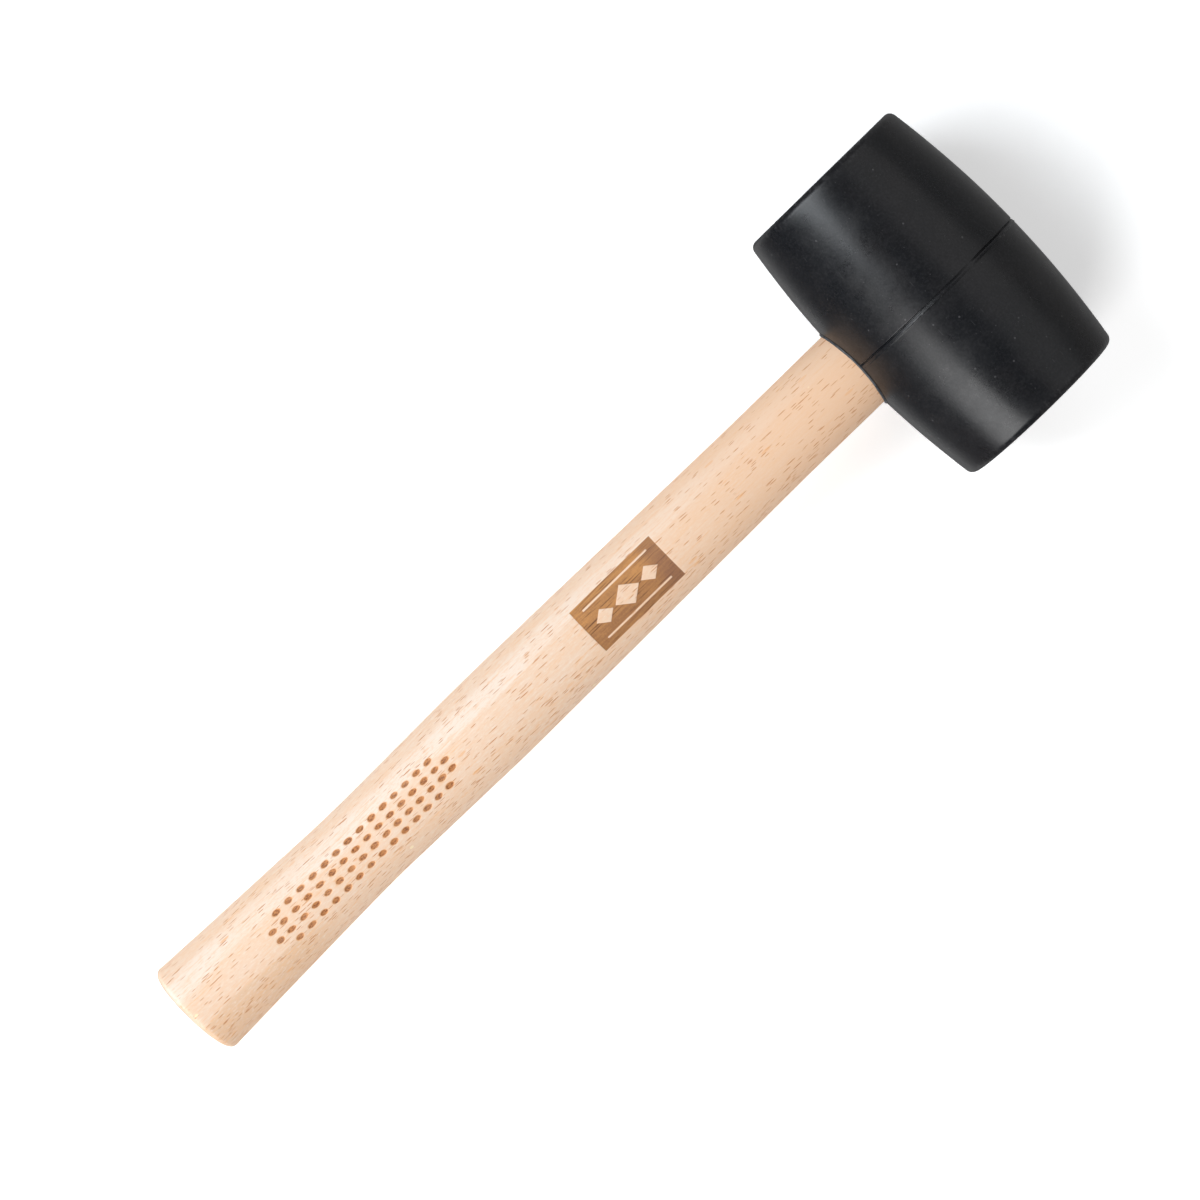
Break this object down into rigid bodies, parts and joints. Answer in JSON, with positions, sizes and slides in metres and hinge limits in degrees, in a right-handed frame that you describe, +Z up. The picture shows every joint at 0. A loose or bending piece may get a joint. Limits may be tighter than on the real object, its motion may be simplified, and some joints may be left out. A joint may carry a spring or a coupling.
{
  "type": "rubber mallet",
  "caption": "Barrel-shaped black rubber head pressed onto an oval beech handle with a burnt dimple grip; lies on its side.",
  "frame": {"origin": "middle of the mallet's footprint, on the surface it lies on", "axes": "+X from the butt towards the head along the surface, Y along the head's axis, +Z up; the handle slopes down to its butt by 3.3 degrees"},
  "size_m": [0.3422, 0.095, 0.065],
  "materials": {
    "black_rubber": "black moulded rubber, satin, with a fine parting line round the middle",
    "beech": "pale steamed beech, sanded, with short brown pores and burnt brown marks"
  },
  "bodies": {
    "root": {"rubber_head": "black_rubber", "beech_handle": "beech"}
  },
  "joints": []
}
